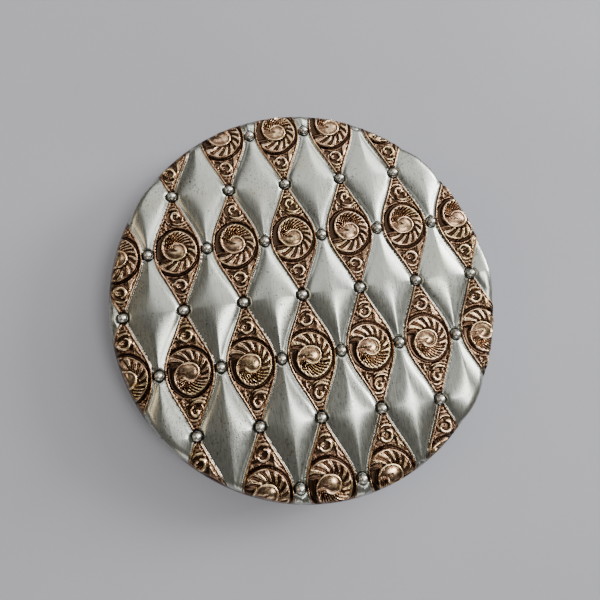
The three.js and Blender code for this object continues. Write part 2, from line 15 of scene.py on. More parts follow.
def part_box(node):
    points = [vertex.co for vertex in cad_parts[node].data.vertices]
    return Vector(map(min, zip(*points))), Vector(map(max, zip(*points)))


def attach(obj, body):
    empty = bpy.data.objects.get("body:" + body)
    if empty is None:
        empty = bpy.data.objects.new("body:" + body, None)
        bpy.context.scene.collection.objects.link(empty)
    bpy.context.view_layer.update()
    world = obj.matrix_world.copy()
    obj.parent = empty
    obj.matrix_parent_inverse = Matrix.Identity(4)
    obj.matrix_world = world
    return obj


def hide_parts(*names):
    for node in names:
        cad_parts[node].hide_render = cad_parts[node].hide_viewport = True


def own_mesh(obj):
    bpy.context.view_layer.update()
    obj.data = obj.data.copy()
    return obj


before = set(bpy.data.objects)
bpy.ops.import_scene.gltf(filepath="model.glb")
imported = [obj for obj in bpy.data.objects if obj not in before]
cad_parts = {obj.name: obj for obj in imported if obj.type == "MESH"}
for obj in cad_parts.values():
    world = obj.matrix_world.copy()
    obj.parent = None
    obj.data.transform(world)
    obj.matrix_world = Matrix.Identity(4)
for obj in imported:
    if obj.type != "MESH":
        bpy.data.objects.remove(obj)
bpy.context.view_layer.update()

MM = 0.001


def corners(node):
    """A CAD node's lowest and highest corners, in mm."""
    low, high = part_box(node)
    return low / MM, high / MM


def round_size(node):
    """A round CAD node's radius, bottom and top, in mm."""
    low, high = corners(node)
    return high.x, low.z, high.z


# ---- Sizes in mm ----

LID_RADIUS, LID_BOTTOM, _ = round_size("lid_shell")
DECK_RADIUS, DECK_BOTTOM, DECK_TOP = round_size("deck_plate")
SHEET = 0.8  # wall of the two pressed shells
LID_WALL_TOP = 9.5  # the lid's wall starts to round over here
DOME_CROWN = 12.35
DOME_FALL = 0.75  # how much lower the dome would be at the lid's full radius
SHOULDER_WIDTH = 2.4
TILE_WIDTH = 0.2993 * LID_RADIUS  # one diamond of the relief, across the lid
TILE_LENGTH = 0.5943 * LID_RADIUS  # one diamond of the relief, along Y
TILE_SHIFT = (-1.0, -0.3)  # the bead nearest to the lid's middle
RELIEF_GRID = 560  # cells along each side of the relief's mesh

WELL_FLANGE = 1.4  # width of the powder well's flange
SPRING_WIRE = 0.16  # radius of the two springs' wire

HINGE_NOTCH = {
    "half_width": 8.6,
    "front": 34.1,
    "lid_top": 8.65,
    "shell_bottom": 5.9,
    "collar_bottom": 6.15,
}
BUTTON_SLOT = {"half_width": 4.6, "height": 2.2, "z": 4.3, "margin": 0.3}

# ---- Relief of the lid ----

TILE_ASPECT = TILE_LENGTH / TILE_WIDTH
EYE_RADIUS = 0.135  # round middle of a copper rosette
ROSETTE_RADIUS = 0.35  # outer line of its plume
BEAD_RADIUS = 0.075
BEAD_LIFT = 0.25  # height of a bead's middle over the dome
WRAP = 0.5  # how far the relief follows the sheet over the rounded edge: 1 would be all the way


def smooth(share):
    """0 below 0, 1 above 1, and a smooth step between."""
    share = np.clip(share, 0, 1)
    return share * share * (3 - 2 * share)


def blended(first, second, share):
    return first + (second - first) * share


def ridge(distance, half_width):
    """A rounded ridge: 1 along its line and 0 from its edge on."""
    return np.sqrt(np.clip(1 - (distance / half_width) ** 2, 0, 1))


def spiral_radius(turned):
    """Radius of the rosette's spiral line after a clockwise turn from the left, in degrees."""
    plume_start, plume_turn = 255, 210
    ring_start, ring_turn = 600, 130
    radius = EYE_RADIUS + (ROSETTE_RADIUS - EYE_RADIUS) * smooth((turned - plume_start) / plume_turn)
    radius = radius + 0.07 * smooth((turned - ring_start) / ring_turn)
    flattened = np.clip(-np.cos(np.radians(turned)), 0, 1) * smooth((turned - 400) / 80)
    return radius * (1 - 0.12 * flattened)


def leaflets(turned, share):
    """The plume's feathered leaflets. share runs from 0 at its inner line to 1 at its outer line."""
    sweep = 74 - 44 * smooth((turned - 70) / 110)
    start = turned - sweep * np.clip(share, 0, 1) ** 0.85
    fine, wide, widens_at = 17, 27, 115  # degrees from leaflet to leaflet, and where that changes
    phase = start / fine - np.maximum(start - widens_at, 0) * (1 / fine - 1 / wide)
    from_middle = 2 * np.abs((phase % 1) - 0.5)
    lobed = smooth((turned - widens_at) / 50)
    half_width = blended(0.86, blended(0.60, 0.92, np.clip(share * 1.4, 0, 1)), lobed)
    vein = 0.15 * ridge(from_middle, 0.22) * smooth((turned - 100) / 60)
    inner = blended(0.03, 0.16, smooth((turned - 120) / 40)) * (1 - smooth((turned - 250) / 50))
    root = np.clip((share - inner) / 0.14, 0, 1) ** 0.6
    tip = np.clip((1 - share) / (0.08 + 0.24 * from_middle**2 * lobed), 0, 1) ** 0.5
    return (0.04 + 0.56 * ridge(from_middle, half_width) ** 2.4 - vein) * root * tip


def rosette(u, v):
    """The spiral plume's height, how far each place lies outside it, and its turn from the left."""
    plume_start, plume_end = 42, 322
    line_width = 0.024
    r = np.hypot(u, v)
    turned = np.degrees(np.arctan2(v, -u)) % 360
    first = spiral_radius(turned)
    second = spiral_radius(turned + 360)
    third = spiral_radius(turned + 720)
    upper = turned < 180
    # The eye runs out into the root of the plume at the lower left.
    eye = np.where(r < first, 0.10 + 0.40 * ridge(r, first), 0)
    root = np.where(r < second, 0.14 + 0.14 * ridge(r, second), 0)
    share = (r - first) / (second - first)
    plume = leaflets(turned, share) * (1 - smooth((turned - plume_end) / 24))
    height = np.where((share > 0) & (share < 1), plume, eye)
    started = smooth(turned / plume_start)
    height = np.where((turned < plume_start) & (r < second), blended(root, height, started), height)
    # Raised lines round the eye, along the plume and round the whole rosette.
    tail = 1 - smooth((turned - 20) / 60)
    height = np.maximum(height, 0.64 * started * ridge(r - first, line_width))
    plume_line = 0.52 - 0.13 * ridge(turned - 232, 52)
    height = np.maximum(height, plume_line * ridge(r - second, line_width))
    height = np.maximum(height, 0.46 * tail * ridge(r - third, 0.026))
    # The deep crescent left of the plume.
    inner = np.where(upper, second, first)
    outer = np.where(upper, blended(second + 0.10, third, tail), second)
    deep = np.where(upper, 1 - smooth((turned - 40) / 70), smooth((turned - plume_end) / 16))
    share = np.clip((r - inner) / (outer - inner), 0, 1)
    groove = -0.30 * deep * np.sqrt(np.clip(4 * share * (1 - share), 0, 1))
    height = np.where(height < 0.02, np.minimum(height, groove), height)
    outside = r - blended(second, third, np.where(upper, tail, 0))
    return height, outside, turned


def stroke(u, v, centre, radii, angles, half_width, height, taper):
    """A tapered ridge along a spiral arc. Its angles are in degrees, anticlockwise from the right."""
    middle = (angles[0] + angles[1]) / 2
    span = abs(angles[1] - angles[0])
    du = u - centre[0]
    dv = v - centre[1]
    away = (np.degrees(np.arctan2(dv, du)) - middle + 180) % 360 - 180
    along = np.clip(away / span + 0.5, 0, 1)
    share = 1 - along if angles[1] < angles[0] else along
    radius = radii[0] + (radii[1] - radii[0]) * share
    nearest = np.radians(middle + span * (along - 0.5))
    distance = np.hypot(du - radius * np.cos(nearest), dv - radius * np.sin(nearest))
    return height * ridge(distance, half_width * (1 - taper * smooth(np.abs(2 * share - 0.9))))


def nested(u, v, centre, start_radius, angles):
    """Three arches round a centre. Each lies outside the last one, and is thinner and lower."""
    strokes = []
    for number in range(3):
        grown = 0.055 * number
        radii = (start_radius + grown, 0.150 + grown)
        half_width = 0.028 - 0.003 * number
        strokes.append(stroke(u, v, centre, radii, angles, half_width, 0.52 - 0.08 * number, taper=0.35))
    return strokes


def side_leaves(u, v, start, steepest, upward, radii, angles, height):
    """Four small leaves, in a row round the left of the rosette."""
    row_radius, apart = 0.44, 14
    strokes = []
    for number in range(4):
        rise = math.radians(steepest - apart * number)
        centre = (start[0] - row_radius * math.cos(rise), start[1] + upward * row_radius * math.sin(rise))
        strokes.append(stroke(u, v, centre, radii, angles, 0.034, height, taper=0.7))
    return strokes


def upper_scroll(u, v):
    """A curl under nested arches, with leaves that sweep to the lower right and small ones on the left."""
    strokes = [stroke(u, v, (0.03, 0.622), (0.026, 0.086), (-60, 240), 0.036, 0.66, taper=0.3)]
    strokes += nested(u, v, (0, 0.605), 0.146, (-34, 226))
    for number in range(5):
        grown = 0.050 * number
        radii = (0.150 + grown, 0.190 + grown)
        angles = (228 + 9 * number, 336 - 12 * number)
        strokes.append(stroke(u, v, (0.05, 0.630), radii, angles, 0.034, 0.52 - 0.03 * number, taper=0.6))
    strokes += side_leaves(u, v, (0.13, 0.02), 68, 1, (0.13, 0.15), (196, 128), 0.46)
    return np.max(strokes, axis=0)


def lower_scroll(u, v):
    """A hook over nested cups, with leaves on both sides."""
    strokes = [
        stroke(u, v, (0, -0.590), (0.110, 0.070), (160, -80), 0.034, 0.64, taper=0.3),
        stroke(u, v, (-0.05, -0.585), (0.016, 0.030), (60, 300), 0.030, 0.50, taper=0.35),
    ]
    strokes += nested(u, v, (0, -0.590), 0.142, (158, 376))
    for number in range(5):
        centre = (0.43, -0.640 + 0.078 * number)
        strokes.append(stroke(u, v, centre, (0.250, 0.290), (112, 200), 0.032, 0.46, taper=0.7))
    strokes += side_leaves(u, v, (0.10, 0), 62, -1, (0.12, 0.15), (170, 238), 0.44)
    return np.max(strokes, axis=0)


def scrollwork(u, v, border):
    """Height of a copper diamond over its floor. border is the distance from its edge."""
    height, outside, turned = rosette(u - 0.005, v)
    line_width = 0.022
    moat = -0.12 * ridge(outside - 0.030, line_width)
    height = np.where(height < 0.02, np.minimum(height, moat), height)
    beyond_moat = smooth((outside - 0.05) / 0.03)
    scrolls = np.maximum(upper_scroll(u, v), lower_scroll(u, v)) * beyond_moat
    line = np.where(u > 0, 0.34 * ridge(border - 0.078, line_width), 0) * beyond_moat
    strands = 24  # of the rope round the rosette
    rope = 0.30 * ridge(outside - 0.084, line_width) * (0.80 + 0.20 * np.cos(np.radians(turned * strands)))
    raised = np.max([scrolls, line, rope], axis=0)
    height = np.where(raised > 0.01, np.maximum(raised, height), height)
    height = height * smooth((border - 0.030) / 0.03)
    edge = 0.46 * ridge(border - line_width, line_width)
    return np.where(edge > 0, np.maximum(height, edge), height)


def pillow(into_silver, across, along):
    """Height of a silver diamond: a rolled edge round a cushion, creased towards its points."""
    half_width, half_length, roll_width = 0.46, 0.80, 0.045
    flank, peak = 0.30, 0.72  # height of the edge, and the reach of the cushion's slopes
    roll = 1 - np.exp(-((np.clip(into_silver, 0, 1) / roll_width) ** 1.5))
    to_side = np.abs(across) / half_width
    to_end = np.abs(along) / half_length
    # The creases are sharp towards the points and soft in the middle.
    soft_side = 0.05 + 0.45 * np.clip(1 - to_end, 0, 1) ** 2
    soft_end = 0.05 + 0.50 * np.clip(1 - to_side, 0, 1) ** 2
    side = np.hypot(to_side, soft_side) - soft_side
    end = np.hypot(to_end, soft_end) - soft_end
    return (flank + 1.15 * np.clip(peak - side - end, 0, 1)) * roll


def relief(x, y):
    """The relief at x, y: its height over the dome, and how far each place is copper."""
    a = (x - TILE_SHIFT[0]) / TILE_WIDTH
    b = (y - TILE_SHIFT[1]) / TILE_LENGTH
    column, row = np.round(a), np.floor(b) + 0.5
    across = np.abs(a - column)
    # A copper diamond's half width along it: a wave, drawn in a little more at the points.
    wave = 0.16
    half_width = 0.25 - wave * np.cos(2 * np.pi * b) - 0.045 * np.cos(np.pi * b) ** 24
    slope = wave * 2 * np.pi / TILE_ASPECT * np.sin(2 * np.pi * b)
    into_silver = (across - half_width) / np.hypot(1, slope)
    # The scrolls are turned over below the lid's middle line.
    v = (b - row) * TILE_ASPECT * np.where(row > 0, 1, -1)
    scrolls = scrollwork(a - column, v, -into_silver)
    cushion = pillow(into_silver, across - 0.5, (b - np.round(b)) * TILE_ASPECT)
    height = np.where(into_silver < 0, scrolls, cushion)
    # Each of the diamonds' points has a shallow seat for its bead.
    from_corner = np.hypot(a - column, (b - np.round(b)) * TILE_ASPECT)
    from_middle = np.hypot(a - np.floor(a) - 0.5, (b - row) * TILE_ASPECT)
    from_bead = np.minimum(from_corner, from_middle) - BEAD_RADIUS
    seat = 0.20 * ridge(from_bead - 0.004, 0.022) ** 2
    height = height * smooth(from_bead / 0.06) - seat
    copper = np.clip(0.5 - into_silver / 0.02, 0, 1) * np.clip(from_bead / 0.02, 0, 1)
    return height, copper


# ---- Mesh helpers ----


def in_scene(name, data):
    """A new object in the scene, with a mesh, light or camera as its data."""
    piece = bpy.data.objects.new(name, data)
    bpy.context.collection.objects.link(piece)
    return piece


def mesh_object(name, vertices, faces):
    """A new object from vertices in mm."""
    mesh = bpy.data.meshes.new(name)
    mesh.from_pydata([[c * MM for c in vertex] for vertex in vertices], [], faces)
    return in_scene(name, mesh)


def from_bmesh(name, bm):
    """A new object from a bmesh in mm."""
    bmesh.ops.scale(bm, vec=(MM, MM, MM), verts=bm.verts)
    mesh = bpy.data.meshes.new(name)
    bm.to_mesh(mesh)
    bm.free()
    return in_scene(name, mesh)


def applied(piece):
    """Makes the piece's modifiers part of its mesh."""
    graph = bpy.context.evaluated_depsgraph_get()
    mesh = bpy.data.meshes.new_from_object(piece.evaluated_get(graph))
    piece.modifiers.clear()
    piece.data = mesh


def shaded(piece, sharp_over=40):
    """Smooth shading, but for edges sharper than so many degrees."""
    piece.data.shade_smooth()
    piece.data.set_sharp_from_angle(angle=math.radians(sharp_over))


def rounded(piece, width):
    """Rounds the piece's sharp edges to a width in mm."""
    bevel = piece.modifiers.new("edge", "BEVEL")
    bevel.width = width * MM
    bevel.segments = 2
    bevel.limit_method = "ANGLE"
    bevel.angle_limit = math.radians(32)
    applied(piece)


def cut(piece, *tools):
    """Cuts the tools out of the piece and removes them."""
    for tool in tools:
        boolean = piece.modifiers.new("cut", "BOOLEAN")
        boolean.operation = "DIFFERENCE"
        boolean.solver = "EXACT"
        boolean.object = tool
        applied(piece)
        bpy.data.objects.remove(tool)


def arc(centre, radii, start, end, steps):
    """Points along an ellipse's arc in the plane of radius and height, in degrees."""
    angles = [math.radians(start + (end - start) * i / steps) for i in range(steps + 1)]
    return [(centre[0] + radii[0] * math.cos(a), centre[1] + radii[1] * math.sin(a)) for a in angles]


def turned_piece(name, profile, rounding=0.1, segments=192):
    """A piece turned about Z. The profile's points are (radius, height) in mm, anticlockwise."""
    bm = bmesh.new()
    vertices = [bm.verts.new((r, 0, z)) for r, z in profile]
    pairs = list(zip(vertices, vertices[1:]))
    if profile[0][0] > 0:
        pairs.append((vertices[-1], vertices[0]))
    edges = [bm.edges.new(pair) for pair in pairs]
    bmesh.ops.spin(
        bm,
        geom=vertices + edges,
        cent=(0, 0, 0),
        axis=(0, 0, 1),
        angle=2 * math.pi,
        steps=segments,
        use_merge=True,
    )
    bmesh.ops.remove_doubles(bm, verts=bm.verts, dist=1e-5)
    bmesh.ops.recalc_face_normals(bm, faces=bm.faces)
    piece = from_bmesh(name, bm)
    if rounding:
        rounded(piece, rounding)
    return piece


def grid_faces(rows, columns, first=0, closed=False, flipped=False):
    """Faces between neighbouring rows of vertices. Closed rows are joined end to end."""
    faces = []
    for row in range(rows - 1):
        for column in range(columns if closed else columns - 1):
            a = first + row * columns + column
            b = first + row * columns + (column + 1) % columns
            if flipped:
                faces.append((a, b, b + columns, a + columns))
            else:
                faces.append((a, a + columns, b + columns, b))
    return faces


def round_sheet(name, rings, segments, place, skirt_to=None):
    """A disc, or a solid if it has a skirt. place(share of the radius, angle) gives each vertex."""
    angles = [2 * math.pi * step / segments for step in range(segments)]
    vertices = [place(0, 0)]
    vertices += [place(ring / rings, angle) for ring in range(1, rings + 1) for angle in angles]
    edge = len(vertices) - segments
    if skirt_to is not None:
        vertices += [(x, y, skirt_to) for x, y, _ in vertices[edge:]]
    faces = [(0, 1 + step, 1 + (step + 1) % segments) for step in range(segments)]
    faces += grid_faces(len(vertices) // segments, segments, first=1, closed=True)
    if skirt_to is not None:
        faces.append(tuple(reversed(range(len(vertices) - segments, len(vertices)))))
    return mesh_object(name, vertices, faces)


def refined(node, rounding):
    """A copy of a CAD node with its edges rounded."""
    bm = bmesh.new()
    bm.from_mesh(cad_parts[node].data)
    bmesh.ops.remove_doubles(bm, verts=bm.verts, dist=1e-7)
    bmesh.ops.dissolve_limit(bm, angle_limit=math.radians(1), verts=bm.verts, edges=bm.edges)
    bmesh.ops.scale(bm, vec=(1 / MM, 1 / MM, 1 / MM), verts=bm.verts)
    piece = from_bmesh(node + "_fine", bm)
    rounded(piece, rounding)
    return piece


def block(low, high):
    """A box to cut with."""
    bm = bmesh.new()
    bmesh.ops.create_cube(bm, size=1)
    size = Vector(high) - Vector(low)
    bmesh.ops.scale(bm, vec=size, verts=bm.verts)
    bmesh.ops.translate(bm, vec=Vector(low) + size / 2, verts=bm.verts)
    return from_bmesh("tool", bm)


def prism(outline, along):
    """A flat outline drawn out along a vector, as a bmesh."""
    bm = bmesh.new()
    face = bm.faces.new([bm.verts.new(point) for point in outline])
    grown = bmesh.ops.extrude_face_region(bm, geom=[face])
    moved = [item for item in grown["geom"] if isinstance(item, bmesh.types.BMVert)]
    bmesh.ops.translate(bm, vec=along, verts=moved)
    bmesh.ops.recalc_face_normals(bm, faces=bm.faces)
    return bm


def hinge_notch(bottom, top, spare=0):
    """Room for the hinge's barrel, to cut out of the back, with spare room at each end."""
    half = HINGE_NOTCH["half_width"] + spare
    return block((-half, HINGE_NOTCH["front"], bottom), (half, LID_RADIUS + 1, top))


def button_slot():
    """The catch button's opening, to cut out of the front."""
    straight = BUTTON_SLOT["half_width"] - BUTTON_SLOT["height"] / 2
    radius = BUTTON_SLOT["height"] / 2 + BUTTON_SLOT["margin"]
    right = arc((straight, BUTTON_SLOT["z"]), (radius, radius), -90, 90, 16)
    left = arc((-straight, BUTTON_SLOT["z"]), (radius, radius), 90, 270, 16)
    depth = 6
    outline = [(x, -LID_RADIUS - 1, z) for x, z in right + left]
    return from_bmesh("tool", prism(outline, (0, depth, 0)))


def placed(piece, body, material, *nodes, sharp_over=40):
    """Gives a finished piece its material and body, and hides the CAD nodes that it stands for."""
    piece.data.materials.clear()
    piece.data.materials.append(material)
    shaded(piece, sharp_over)
    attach(piece, body)
    if nodes:
        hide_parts(*nodes)
    return piece


def carried(body, material, *nodes, rounding=0.07):
    """Places refined copies of CAD nodes."""
    for node in nodes:
        placed(refined(node, rounding), body, material, node)


# ---- Materials ----


class Surface:
    """A Principled material with short ways to add nodes. Patterns are placed in mm."""

    def __init__(self, name, **fixed):
        self.material = bpy.data.materials.new(name)
        self.material.use_nodes = True
        self.tree = self.material.node_tree
        self.shader = self.tree.nodes["Principled BSDF"]
        for socket, value in fixed.items():
            self.shader.inputs[socket.replace("_", " ")].default_value = value

    def node(self, kind, settings=None, inputs=None):
        made = self.tree.nodes.new(kind)
        for name, value in (settings or {}).items():
            setattr(made, name, value)
        for socket, value in (inputs or {}).items():
            self.join(made.inputs[socket], value)
        return made

    def join(self, socket, value):
        if isinstance(value, bpy.types.NodeSocket):
            self.tree.links.new(value, socket)
        else:
            socket.default_value = value

    def place(self, stretch=(1, 1, 1)):
        """The place on the object in mm, times a stretch along each axis."""
        coordinates = self.node("ShaderNodeTexCoord")
        scale = [factor / MM for factor in stretch]
        inputs = {"Vector": coordinates.outputs["Object"], "Scale": scale}
        return self.node("ShaderNodeMapping", inputs=inputs).outputs["Vector"]

    def noise(self, per_mm, stretch=(1, 1, 1), detail=4.0, roughness=0.55):
        inputs = {"Vector": self.place(stretch), "Scale": per_mm, "Detail": detail, "Roughness": roughness}
        return self.node("ShaderNodeTexNoise", inputs=inputs).outputs["Fac"]

    def cells(self, per_mm, stretch=(1, 1, 1)):
        """Distance from the nearest of many scattered points."""
        inputs = {"Vector": self.place(stretch), "Scale": per_mm}
        return self.node("ShaderNodeTexVoronoi", inputs=inputs).outputs["Distance"]

    def attribute(self, name):
        return self.node("ShaderNodeAttribute", {"attribute_name": name}).outputs["Fac"]

    def math(self, operation, first, second=0.0):
        return self.node("ShaderNodeMath", {"operation": operation}, {0: first, 1: second}).outputs[0]

    def plus(self, first, second):
        return self.math("ADD", first, second)

    def times(self, first, second):
        return self.math("MULTIPLY", first, second)

    def waves(self, value, per_mm):
        """A wave along the value. per_mm is its phase in radians."""
        return self.math("SINE", self.times(value, per_mm))

    def spread(self, value, low=0.3, high=0.7, start=0.0, end=1.0):
        """The value moved from low..high to start..end, and held there."""
        inputs = {"Value": value, "From Min": low, "From Max": high, "To Min": start, "To Max": end}
        return self.node("ShaderNodeMapRange", inputs=inputs).outputs["Result"]

    def mix(self, share, first, second):
        """A colour between two colours. A plain colour is three numbers."""
        # A Mix node's inputs 6 and 7 and its output 2 are the ones for colours.
        colours = [c if isinstance(c, bpy.types.NodeSocket) else (*c, 1) for c in (first, second)]
        inputs = {0: share, 6: colours[0], 7: colours[1]}
        return self.node("ShaderNodeMix", {"data_type": "RGBA"}, inputs).outputs[2]

    def between(self, value, first, second, low=0.3, high=0.7):
        """A colour that goes from the first to the second as the value goes from low to high."""
        return self.mix(self.spread(value, low, high), first, second)

    def xy(self):
        """The place across and along the compact, in mm."""
        return self.node("ShaderNodeSeparateXYZ", inputs={0: self.place()}).outputs[:2]

    def radius(self):
        """Distance from the compact's axis in mm."""
        return self.math("SQRT", self.plus(*(self.times(part, part) for part in self.xy())))

    def finish(self, colour, roughness, bump=None, depth=0.01):
        """Joins the colour, the roughness and a bump of a depth in mm. Gives the material."""
        self.join(self.shader.inputs["Base Color"], colour)
        self.join(self.shader.inputs["Roughness"], roughness)
        if bump is not None:
            inputs = {"Height": bump, "Distance": depth * MM, "Strength": 1.0}
            bumped = self.node("ShaderNodeBump", inputs=inputs).outputs["Normal"]
            self.join(self.shader.inputs["Normal"], bumped)
        return self.material


def silver_colour(surface, grain, pitted):
    """Satin silver tone: straight grain, faint yellow tarnish and dark pits, as deep as pitted says."""
    colour = surface.mix(grain, (0.35, 0.365, 0.325), (0.45, 0.465, 0.42))
    tarnish = surface.spread(surface.noise(0.16), 0.52, 0.75, 0, 0.45)
    colour = surface.mix(tarnish, colour, (0.40, 0.36, 0.25))
    clusters = surface.spread(surface.noise(0.14), 0.42, 0.66, -0.04, 0.07)
    specks = surface.plus(surface.noise(1.9, (1.6, 1, 1), detail=2), clusters)
    pits = surface.spread(specks, 0.63, 0.67, 0, pitted)
    return surface.mix(pits, colour, (0.10, 0.09, 0.07)), pits


def lid_metal():
    """The lid's pressed cover: satin silver diamonds and antiqued copper ones, read from the mesh."""
    surface = Surface("lid_metal", Metallic=1.0)
    height = surface.attribute("relief")
    copper = surface.attribute("copper")
    grain = surface.noise(1, (4.2, 0.3, 4.2), detail=5)
    silver, pits = silver_colour(surface, surface.spread(grain), pitted=0.7)
    # Painted shade darkens the silver in the seats of the beads, and both metals where the shoulder turns
    # down into the wall. The copper is darkest where it lies deepest.
    silver = surface.mix(surface.spread(height, -0.20, -0.05, 0.8, 0), silver, (0.10, 0.085, 0.07))
    worn = surface.spread(surface.noise(1.5), start=-0.12, end=0.10)
    level = surface.plus(height, worn)
    rose = surface.between(level, (0.050, 0.029, 0.018), (0.205, 0.118, 0.070), -0.05, 0.34)
    # The raised copper is drawn pale gold: partly rubbed polish, partly a painted highlight.
    polish_and_highlight = surface.between(surface.noise(0.13), (0.97, 0.68, 0.45), (0.97, 0.76, 0.40), 0.42, 0.62)
    gold = surface.between(level, rose, polish_and_highlight, 0.38, 0.60)
    colour = surface.mix(copper, silver, gold)
    fine = surface.noise(7, detail=3)
    bump = surface.plus(surface.times(grain, 0.6), surface.times(fine, 0.4))
    bump = surface.math("SUBTRACT", bump, pits)
    roughness = surface.plus(surface.spread(grain, start=0.25, end=0.33), surface.times(copper, -0.09))
    return surface.finish(colour, roughness, bump, 0.004)


def bead_metal():
    """The beads' silver tone, with painted shade that darkens each bead low down, towards the lid."""
    surface = Surface("bead_metal", Metallic=1.0)
    cloud = surface.noise(0.6)
    colour = surface.between(cloud, (0.60, 0.59, 0.53), (0.80, 0.79, 0.72))
    # Painted shade: the lower part of each bead is drawn dark.
    painted_foot_shade = surface.spread(surface.attribute("crown"), 0.52, 0.20, 0, 0.85)
    colour = surface.mix(painted_foot_shade, colour, (0.06, 0.05, 0.04))
    fine = surface.noise(5, detail=3)
    return surface.finish(colour, surface.spread(cloud, start=0.26, end=0.34), fine, 0.004)


def shell_metal():
    """The plain silver-tone shells, grained round the axis."""
    surface = Surface("shell_metal", Metallic=1.0)
    rings = surface.waves(surface.radius(), 16)
    streaks = surface.noise(1, (0.35, 0.35, 9), detail=5)
    grain = surface.plus(surface.times(rings, 0.12), streaks)
    silver, pits = silver_colour(surface, surface.spread(grain), pitted=0.3)
    scratches = surface.spread(surface.noise(0.5, (6, 0.4, 3), detail=6), 0.62, 0.68)
    bump = surface.math("SUBTRACT", grain, surface.plus(pits, surface.times(scratches, 0.5)))
    return surface.finish(silver, surface.spread(streaks, start=0.27, end=0.40), bump, 0.012)


def gilt_metal():
    """Lacquered gilt brass with fine turned lines and a few dull spots."""
    surface = Surface("gilt_metal", Metallic=1.0, Coat_Weight=0.25, Coat_Roughness=0.12)
    rings = surface.waves(surface.radius(), 22)
    streaks = surface.noise(1.2, (1, 1, 4), detail=5)
    colour = surface.between(streaks, (0.66, 0.44, 0.17), (0.82, 0.62, 0.30))
    dull = surface.spread(surface.noise(0.35, detail=6), 0.58, 0.72, 0, 0.6)
    colour = surface.mix(dull, colour, (0.36, 0.24, 0.11))
    bump = surface.plus(surface.times(rings, 0.5), streaks)
    return surface.finish(colour, surface.spread(dull, 0, 0.6, 0.20, 0.46), bump, 0.006)


def steel_metal():
    """Plain drawn steel with a little oil stain."""
    surface = Surface("steel_metal", Metallic=1.0)
    drawn = surface.noise(3, (0.3, 3, 3), detail=4)
    stain = surface.spread(surface.noise(0.8), 0.5, 0.75, 0, 0.5)
    colour = surface.between(drawn, (0.34, 0.345, 0.35), (0.54, 0.55, 0.56))
    colour = surface.mix(stain, colour, (0.22, 0.17, 0.12))
    return surface.finish(colour, surface.spread(drawn, start=0.28, end=0.42), drawn, 0.008)


def mirror_metal():
    """Silvered glass with faint wipe marks, and specks of lost silver towards its edge."""
    surface = Surface("mirror_metal", Metallic=1.0, Coat_Weight=0.6, Coat_Roughness=0.02)
    near_edge = surface.spread(surface.radius(), 27, 35, 0, 0.10)
    specks = surface.spread(surface.plus(surface.noise(1.1, detail=5), near_edge), 0.72, 0.78, 0, 0.8)
    colour = surface.mix(specks, (0.86, 0.88, 0.88), (0.24, 0.21, 0.17))
    wiped = surface.noise(0.25, (1, 4, 1), detail=6)
    return surface.finish(colour, surface.spread(wiped, 0.35, 0.75, 0.015, 0.06), wiped, 0.0008)


def card_stock():
    """Dark pressed card with short fibres."""
    surface = Surface("card_stock")
    fibres = surface.noise(2.4, (1, 5, 1), detail=6)
    colour = surface.between(fibres, (0.035, 0.025, 0.018), (0.11, 0.08, 0.06), 0.35, 0.65)
    return surface.finish(colour, surface.spread(fibres, start=0.8, end=0.95), fibres, 0.05)


def face_powder():
    """Pressed face powder: fine grains and faint darker patches."""
    surface = Surface("face_powder", Sheen_Weight=0.15)
    grains = surface.noise(9, detail=6, roughness=0.75)
    patches = surface.noise(0.22)
    colour = surface.between(patches, (0.72, 0.46, 0.32), (0.80, 0.56, 0.42), 0.35, 0.65)
    colour = surface.mix(surface.spread(grains, 0.4, 0.62, 0, 0.3), colour, (0.90, 0.70, 0.57))
    return surface.finish(colour, surface.spread(grains, start=0.85, end=1.0), grains, 0.05)


def woven_wire():
    """Fine woven wire: rows of round holes with powder dust in them."""
    surface = Surface("woven_wire", Metallic=0.75)
    weave = surface.times(*(surface.waves(part, 12) for part in surface.xy()))
    dust = surface.spread(surface.noise(0.6), 0.4, 0.65, 0.15, 0.8)
    wire = surface.between(weave, (0.16, 0.12, 0.09), (0.55, 0.53, 0.50), -0.5, 0.5)
    dusty = surface.times(dust, surface.spread(weave, 0.4, -0.2))
    colour = surface.mix(dusty, wire, (0.74, 0.50, 0.37))
    return surface.finish(colour, surface.spread(dust, 0, 0.8, 0.35, 0.7), weave, 0.05)


def velour_cloth():
    """Short pile that lies in soft swirls, paler at its tips."""
    surface = Surface("velour_cloth", Sheen_Weight=0.6, Sheen_Roughness=0.45)
    pile = surface.noise(6, detail=6, roughness=0.8)
    lie = surface.noise(0.22, detail=2)
    colour = surface.between(lie, (0.74, 0.55, 0.45), (0.88, 0.72, 0.62), 0.35, 0.65)
    colour = surface.mix(surface.spread(pile, 0.35, 0.55, 0.6, 0), colour, (0.56, 0.36, 0.28))
    return surface.finish(colour, surface.spread(pile, start=0.9, end=1.0), pile, 0.16)


def satin_cloth(name, threads_per_mm, dark, pale, ribbed):
    """Silky cloth. Its threads run along X, or its ribs along Y where it is ribbed."""
    surface = Surface(name, Sheen_Weight=0.25, Sheen_Roughness=0.3)
    threads = surface.waves(surface.xy()[0 if ribbed else 1], threads_per_mm * 2 * math.pi)
    slubs = surface.noise(0.8, (5, 0.5, 1) if ribbed else (0.5, 5, 1), detail=4)
    colour = surface.between(slubs, dark, pale, 0.35, 0.65)
    colour = surface.mix(surface.spread(threads, -0.2, -1, 0, 0.45), colour, [0.6 * part for part in dark])
    bump = surface.plus(surface.times(threads, 0.5), slubs)
    return surface.finish(colour, surface.spread(slubs, start=0.34, end=0.5), bump, 0.03)


def table_paper():
    """The pale surface the compact lies on."""
    surface = Surface("table_paper")
    clouds = surface.noise(0.012, detail=3)
    fibres = surface.noise(0.9, detail=5)
    colour = surface.between(clouds, (0.37, 0.375, 0.415), (0.41, 0.415, 0.455))
    return surface.finish(colour, surface.spread(fibres, start=0.75, end=0.9), fibres, 0.02)


# ---- Lid ----


def dome_height(r):
    return DOME_CROWN - DOME_FALL * (r / LID_RADIUS) ** 2


